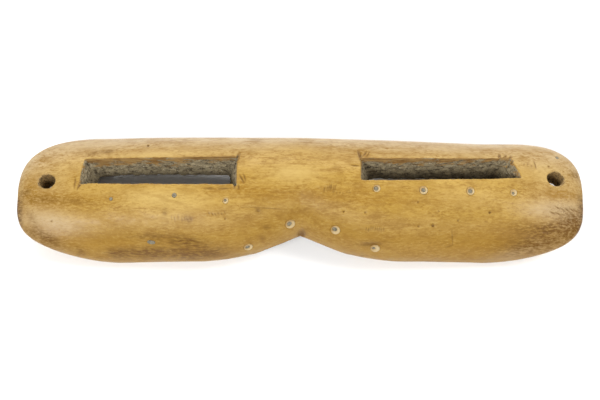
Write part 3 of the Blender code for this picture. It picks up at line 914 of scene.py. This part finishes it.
def stacked(name, levels, matrix, material, closed_on_itself):
    """A solid through outlines at heights: a ring that meets itself, or a plug with filled ends."""
    tool = bmesh.new()
    rows = [[tool.verts.new((px, py, height)) for px, py in points] for points, height in levels]
    pairs = list(zip(rows, rows[1:]))
    if closed_on_itself:
        pairs.append((rows[-1], rows[0]))
    else:
        tool.faces.new(rows[0])
        tool.faces.new(rows[-1])
    for row, following in pairs:
        for i in range(len(row)):
            j = (i + 1) % len(row)
            tool.faces.new((row[i], row[j], following[j], following[i]))
    bmesh.ops.transform(tool, matrix=Matrix.Scale(MM, 4) @ matrix, verts=tool.verts)
    made = new_object(name, tool)
    made.data.materials.append(material)
    made.data.shade_smooth()
    made.data.set_sharp_from_angle(angle=math.radians(50))
    return made


def make_ring(name, place, hole_radius, offset, material, seed):
    """A bone ring let into the front, its hole off centre."""
    x, y, radius, _ = place
    side, shoulder, top = (
        outline(radius - inset, radius - inset, seed) for inset in (0.0, RING_BEVEL, RING_TOP_INSET)
    )
    bore, lip = (
        outline(hole_radius + wider, hole_radius + wider, seed + 1, offset)
        for wider in (0.0, RING_BEVEL)
    )
    levels = [
        (side, -RING_DEPTH),
        (side, -0.05),
        (shoulder, 0.02),
        ((shoulder + top) / 2, 0.05),
        ((top + lip) / 2, 0.06),
        (lip, 0.03),
        (bore, -0.04),
        (bore, -RING_DEPTH),
    ]
    ring = stacked(f"inlay_ring_{name}", levels, front_frame(x, y), material, True)
    middle = Vector((x, y, front_z(x, y))) * MM
    away = [(vertex.co - middle) / (radius * MM) for vertex in ring.data.vertices]
    # Painted highlight: each ring is paler on its side towards +X and the nose, and darker on the
    # side opposite
    set_attribute(ring.data, "painted_glint", [0.5 + 0.5 * (place.x - place.y) for place in away])
    return ring


def make_plug(name, place, offset, material, seed):
    """A grey plug, its top low and slightly domed."""
    x, y, half_length, half_width = place
    levels = [(outline(half_length, half_width, seed, offset), -PLUG_DEPTH)]
    for share, height in ((1.0, -0.09), (0.9, -0.05), (0.6, -0.03), (0.25, -0.02)):
        points = outline(half_length * share, half_width * share, seed, offset)
        levels.append((points, height))
    return stacked(name, levels, front_frame(x, y), material, False)


def make_inlays():
    bone, grey = bone_material(), plug_material()
    for seed, (name, place) in enumerate(inlay_places().items(), 300):
        bead, core, peg = f"bead_{name}", f"core_{name}", f"peg_{name}"
        if peg in frame["nodes"]:
            plug = make_plug(f"inlay_{peg}", place, (0.0, 0.0), grey, seed)
            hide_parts(peg)
        else:
            offset = CORE_OFFSETS.get(name, (0.0, 0.0))
            radius = place_of(frame["nodes"][core])[2]
            ring = make_ring(name, place, radius + CORE_GAP, offset, bone, seed)
            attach(ring, "root")
            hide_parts(bead)
            plug = make_plug(f"inlay_{core}", (*place[:2], radius, radius), offset, grey, seed)
            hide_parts(core)
        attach(plug, "root")


# ---------------------------------------------------------------- materials


class Graph:
    """Short calls that build a material's nodes."""

    def __init__(self, name):
        self.material = bpy.data.materials.new(name)
        self.material.use_nodes = True
        self.tree = self.material.node_tree
        self.shader = self.tree.nodes["Principled BSDF"]
        coordinates = self.tree.nodes.new("ShaderNodeTexCoord").outputs["Object"]
        self.place = self.vector("SCALE", coordinates, scale=1.0 / MM)  # in millimetres

    def link(self, value, socket):
        if isinstance(value, bpy.types.NodeSocket):
            self.tree.links.new(value, socket)
        else:
            socket.default_value = value

    def vector(self, operation, first, second=None, scale=None):
        node = self.tree.nodes.new("ShaderNodeVectorMath")
        node.operation = operation
        self.link(first, node.inputs[0])
        if second is not None:
            self.link(second, node.inputs[1])
        if scale is not None:
            self.link(scale, node.inputs["Scale"])
        return node.outputs[0]

    def sideways(self):
        """The place's X, in all three components."""
        split = self.tree.nodes.new("ShaderNodeSeparateXYZ")
        self.link(self.place, split.inputs[0])
        joined = self.tree.nodes.new("ShaderNodeCombineXYZ")
        for socket in joined.inputs:
            self.link(split.outputs["X"], socket)
        return joined.outputs[0]

    def math(self, operation, first, second=0.0, clamp=False):
        node = self.tree.nodes.new("ShaderNodeMath")
        node.operation = operation
        node.use_clamp = clamp
        self.link(first, node.inputs[0])
        self.link(second, node.inputs[1])
        return node.outputs[0]

    def times(self, first, second, clamp=False):
        return self.math("MULTIPLY", first, second, clamp)

    def mask(self, name):
        """The mesh attribute of that name."""
        node = self.tree.nodes.new("ShaderNodeAttribute")
        node.attribute_name = name
        return node.outputs["Fac"]

    def noise(self, size, detail=3.0, roughness=0.5, distortion=0.0, place=None):
        """Noise from 0 to 1 whose features are about size millimetres, or a size for each axis."""
        sizes = size if isinstance(size, tuple) else (size, size, size)
        stretched = self.vector("DIVIDE", place or self.place, sizes)
        node = self.tree.nodes.new("ShaderNodeTexNoise")
        self.link(stretched, node.inputs["Vector"])
        node.inputs["Scale"].default_value = 1.0
        node.inputs["Detail"].default_value = detail
        node.inputs["Roughness"].default_value = roughness
        node.inputs["Distortion"].default_value = distortion
        return node.outputs["Fac"]

    def ramp(self, value, start, end, low=0.0, high=1.0):
        """value from start to end, turned smoothly into low to high."""
        node = self.tree.nodes.new("ShaderNodeMapRange")
        node.interpolation_type = "SMOOTHSTEP"
        self.link(value, node.inputs["Value"])
        limits = {"From Min": start, "From Max": end, "To Min": low, "To Max": high}
        for socket, number in limits.items():
            node.inputs[socket].default_value = number
        return node.outputs["Result"]

    def mix(self, share, first, second):
        """first where share is 0, turning into second where it is 1."""
        node = self.tree.nodes.new("ShaderNodeMix")
        node.data_type = "RGBA"
        self.link(share, node.inputs[0])
        for value, socket in ((first, node.inputs[6]), (second, node.inputs[7])):
            self.link((*value, 1.0) if isinstance(value, tuple) else value, socket)
        return node.outputs[2]

    def finish(self, color, roughness, height, distance):
        """Links colour, roughness and a bump whose height is in millimetres times distance."""
        bump = self.tree.nodes.new("ShaderNodeBump")
        bump.inputs["Strength"].default_value = 1.0
        bump.inputs["Distance"].default_value = distance * MM
        self.link(height, bump.inputs["Height"])
        self.link(bump.outputs["Normal"], self.shader.inputs["Normal"])
        self.link(color, self.shader.inputs["Base Color"])
        self.link(roughness, self.shader.inputs["Roughness"])
        return self.material


def wood_material():
    """Old polished wood: honey tan and handled outside, rough in the slots, sooty in the hollow,
    with painted sheen, painted highlights and painted shade in its colour.
    """
    g = Graph("wood")
    browwards, endwards = g.mask("browwards"), g.mask("endwards")
    clouds = g.noise((16.0, 6.0, 6.0), 3.0, 0.55)
    mottle = g.noise((4.0, 1.8, 1.8), 5.0, 0.62, 0.4)
    streaks = g.noise((7.0, 0.35, 0.35), 4.0, 0.65, 0.2)
    fine = g.noise((1.8, 0.16, 0.16), 3.0, 0.6)
    speckle = g.noise((1.1, 0.5, 0.5), 4.0, 0.7, 0.3)
    ragged = g.ramp(g.noise((1.5, 0.42, 0.42), 5.0, 0.72), 0.38, 0.62, 0.40, 1.5)

    color = g.mix(g.ramp(clouds, 0.3, 0.7), GOLD, HONEY)
    # Painted shade: darker towards the nose-side edge
    color = g.mix(g.ramp(browwards, -0.2, -0.95, 0.0, 0.50), color, UMBER)
    # Painted sheen: paler towards the brow edge and towards the ends
    color = g.mix(g.ramp(browwards, 0.30, 0.85, 0.0, 0.75), color, PALE_SHEEN)
    color = g.mix(g.ramp(endwards, 0.72, 0.95, 0.0, 0.45), color, PALE_SHEEN)
    # Bright gold patches: partly unstained wood, partly a painted highlight along the crest between
    # and below the slots
    color = g.mix(g.mask("golden_and_highlight"), color, BRIGHT)
    color = g.mix(g.times(g.mask("amber"), ragged, clamp=True), color, AMBER)
    busy = g.ramp(g.noise((9.0, 3.5, 3.5), 3.0, 0.6), 0.35, 0.62, 0.50, 1.15)
    busy = g.times(busy, g.ramp(g.mask("golden_and_highlight"), 0.0, 0.8, 1.0, 0.35))
    for pattern, start, end, most in (
        (mottle, 0.44, 0.70, 0.60),
        (streaks, 0.48, 0.72, 0.65),
        (speckle, 0.48, 0.68, 0.75),
        (fine, 0.50, 0.70, 0.50),
    ):
        share = g.times(g.ramp(pattern, start, end, 0.0, most), busy)
        color = g.mix(share, color, UMBER)
    color = g.mix(g.ramp(speckle, 0.48, 0.34, 0.0, 0.25), color, BRIGHT)

    lift = g.times(g.noise((22.0, 8.0, 8.0), 2.0, 0.5), LAYER_WARP)
    level = g.vector("DOT_PRODUCT", g.place, (LAYER_TILT[0], LAYER_TILT[1], 1.0))
    level = g.math("ADD", level, g.math("ADD", lift, g.mask("knot_lift")))
    layers = g.math("SINE", g.times(level, 2 * math.pi / LAYER_HEIGHT))
    patchy = g.ramp(g.noise(7.0, 2.0), 0.35, 0.65, 0.1, 1.0)
    color = g.mix(g.times(g.ramp(layers, 0.1, 1.0, 0.0, 0.3), patchy), color, UMBER)

    # Pale patches: wear, and a painted sheen where the ends and the brow edge catch the light
    wear_and_sheen = g.times(g.mask("wear_and_sheen"), g.ramp(fine, 0.3, 0.7, 0.55, 1.0))
    color = g.mix(wear_and_sheen, color, WORN_AND_SHEEN)
    stain = g.times(g.mask("stain"), ragged, clamp=True)
    color = g.mix(stain, color, STAIN)
    rim = g.ramp(endwards, 0.965, 1.0, 0.0, 0.9)
    lower = g.ramp(browwards, 0.4, -0.3, 0.15, 1.0)
    rim = g.times(g.times(rim, lower), ragged, clamp=True)
    color = g.mix(rim, color, RIM)
    slanted = g.vector("ADD", g.place, g.vector("MULTIPLY", g.sideways(), SLANT))
    pore = g.ramp(g.noise((0.9, 0.20, 0.20), 3.0, 0.65, place=slanted), 0.55, 0.66)
    pores = g.times(g.times(pore, g.mask("pores")), 0.7)
    color = g.mix(pores, color, RIM)
    fleck = g.ramp(g.noise((0.9, 0.22, 0.22), 2.0, 0.5), 0.66, 0.74, 0.0, 0.6)
    color = g.mix(g.times(fleck, patchy), color, STAIN)
    color = g.mix(g.mask("dark_mark"), color, STAIN)
    color = g.mix(g.times(g.mask("arch"), 0.7), color, UMBER)

    grit = g.noise((0.35, 0.45, 0.45), 5.0, 0.8)
    crumbs = g.noise((1.3, 0.9, 0.9), 5.0, 0.75, 0.6)
    tongues = g.noise((4.5, 1.6, 1.6), 4.0, 0.65, 0.5)
    torn = g.mix(g.ramp(crumbs, 0.32, 0.60), SLOT_DARK, SLOT_GREY)
    torn = g.mix(g.ramp(grit, 0.56, 0.68), torn, SLOT_SPECK)
    torn = g.mix(g.ramp(grit, 0.46, 0.34, 0.0, 0.7), torn, SLOT_DARK)
    shaved = g.mix(g.ramp(streaks, 0.35, 0.65), SLOT_BROWN, SLOT_TAN)
    edge = g.math("ADD", g.mask("slot_depth"), g.times(tongues, 14.0))
    edge = g.math("ADD", edge, g.times(g.mask("end_wall"), 2.2))
    cut = g.mix(g.ramp(edge, 8.4, 10.4), shaved, torn)
    # Painted shade: the slots' walls darken towards the back of the wood
    cut = g.mix(g.ramp(g.mask("slot_depth"), 5.5, 9.5, 0.0, 0.75), cut, SLOT_DARK)
    color = g.mix(g.mask("slot"), color, cut)
    sooty = g.mix(g.ramp(mottle, 0.3, 0.7), SOOT, SMOKED)
    color = g.mix(g.mask("hollow"), color, sooty)
    bored = g.mix(g.ramp(grit, 0.35, 0.65), SLOT_DARK, SLOT_TAN)
    color = g.mix(g.mask("hole"), color, bored)

    g.shader.inputs["Specular IOR Level"].default_value = WOOD_SPECULAR
    rough = g.ramp(mottle, 0.3, 0.7, 0.34, 0.50)
    unpolished = g.math("MAXIMUM", g.mask("hollow"), g.mask("hole"))
    unpolished = g.math("MAXIMUM", g.mask("slot"), unpolished)
    rough = g.math("MAXIMUM", rough, g.times(unpolished, 0.85))
    height = g.math("ADD", g.times(streaks, -0.35), g.times(fine, -0.35))
    height = g.math("SUBTRACT", height, pores)
    height = g.math("ADD", height, g.times(g.times(grit, unpolished), 5.0))
    return g.finish(color, rough, height, 0.035)


def bone_material():
    """Old ivory-coloured bone, darker where dirt lies in it, with a painted highlight on each
    ring's side towards +X and the nose and painted shade on the side opposite.
    """
    g = Graph("bone")
    cloudy = g.noise(0.7, 4.0, 0.6)
    shown = g.math("ADD", g.mask("painted_glint"), g.times(cloudy, 0.8))
    color = g.mix(g.ramp(shown, 0.45, 1.25), BONE_DIRTY_AND_SHADED, BONE_PALE_AND_GLINT)
    return g.finish(color, g.ramp(cloudy, 0.3, 0.7, 0.3, 0.45), g.noise(0.3, 3.0), 0.01)


def plug_material():
    """Grey plugs, mottled and dull."""
    g = Graph("plug")
    cloudy = g.noise(0.45, 4.0, 0.65)
    color = g.mix(g.ramp(cloudy, 0.35, 0.65), PLUG_DARK, PLUG_PALE)
    return g.finish(color, g.ramp(cloudy, 0.3, 0.7, 0.45, 0.65), g.noise(0.2, 4.0), 0.02)


def floor_material():
    """A plain pale table."""
    g = Graph("floor")
    g.shader.inputs["Base Color"].default_value = FLOOR_COLOR
    g.shader.inputs["Roughness"].default_value = FLOOR_ROUGHNESS
    return g.material


# ---------------------------------------------------------------- the stage


def make_floor():
    tool = bmesh.new()
    bmesh.ops.create_grid(tool, x_segments=8, y_segments=8, size=FLOOR_SIZE)
    floor = new_object("floor", tool)
    floor.data.materials.append(floor_material())


def make_world():
    world = bpy.data.worlds.new("studio")
    bpy.context.scene.world = world
    world.use_nodes = True
    background = world.node_tree.nodes["Background"]
    background.inputs["Color"].default_value = (1.0, 1.0, 1.0, 1.0)
    background.inputs["Strength"].default_value = WORLD_STRENGTH


def make_light(name, place, size, power):
    light = bpy.data.lights.new(name, "AREA")
    light.shape = "RECTANGLE"
    light.size, light.size_y = size
    light.energy = power
    made = bpy.data.objects.new(name, light)
    made.location = place
    made.rotation_euler = (-Vector(place)).to_track_quat("-Z", "Y").to_euler()
    bpy.context.scene.collection.objects.link(made)


def make_camera():
    data = bpy.data.cameras.new("camera")
    data.sensor_width = SENSOR
    data.lens = CAMERA_DISTANCE / VIEW_WIDTH * SENSOR
    data.shift_y = -SHIFT_DOWN / IMAGE_WIDTH
    data.clip_start = 0.05
    data.clip_end = 10.0
    camera = bpy.data.objects.new("camera", data)
    elevation = math.radians(CAMERA_ELEVATION)
    back = Vector((0.0, -math.cos(elevation), math.sin(elevation)))
    camera.location = CAMERA_TARGET + back * CAMERA_DISTANCE
    camera.rotation_euler = (math.radians(90.0) - elevation, 0.0, 0.0)
    bpy.context.scene.collection.objects.link(camera)
    bpy.context.scene.camera = camera


def main():
    body = make_body()
    body.data.materials.clear()
    body.data.materials.append(wood_material())
    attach(body, "root")
    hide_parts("body")
    make_inlays()

    make_floor()
    make_world()
    for name, (place, size, power) in LIGHTS.items():
        make_light(name, place, size, power)
    make_camera()
    bpy.context.scene.view_settings.view_transform = "Standard"

    bpy.context.view_layer.update()


main()
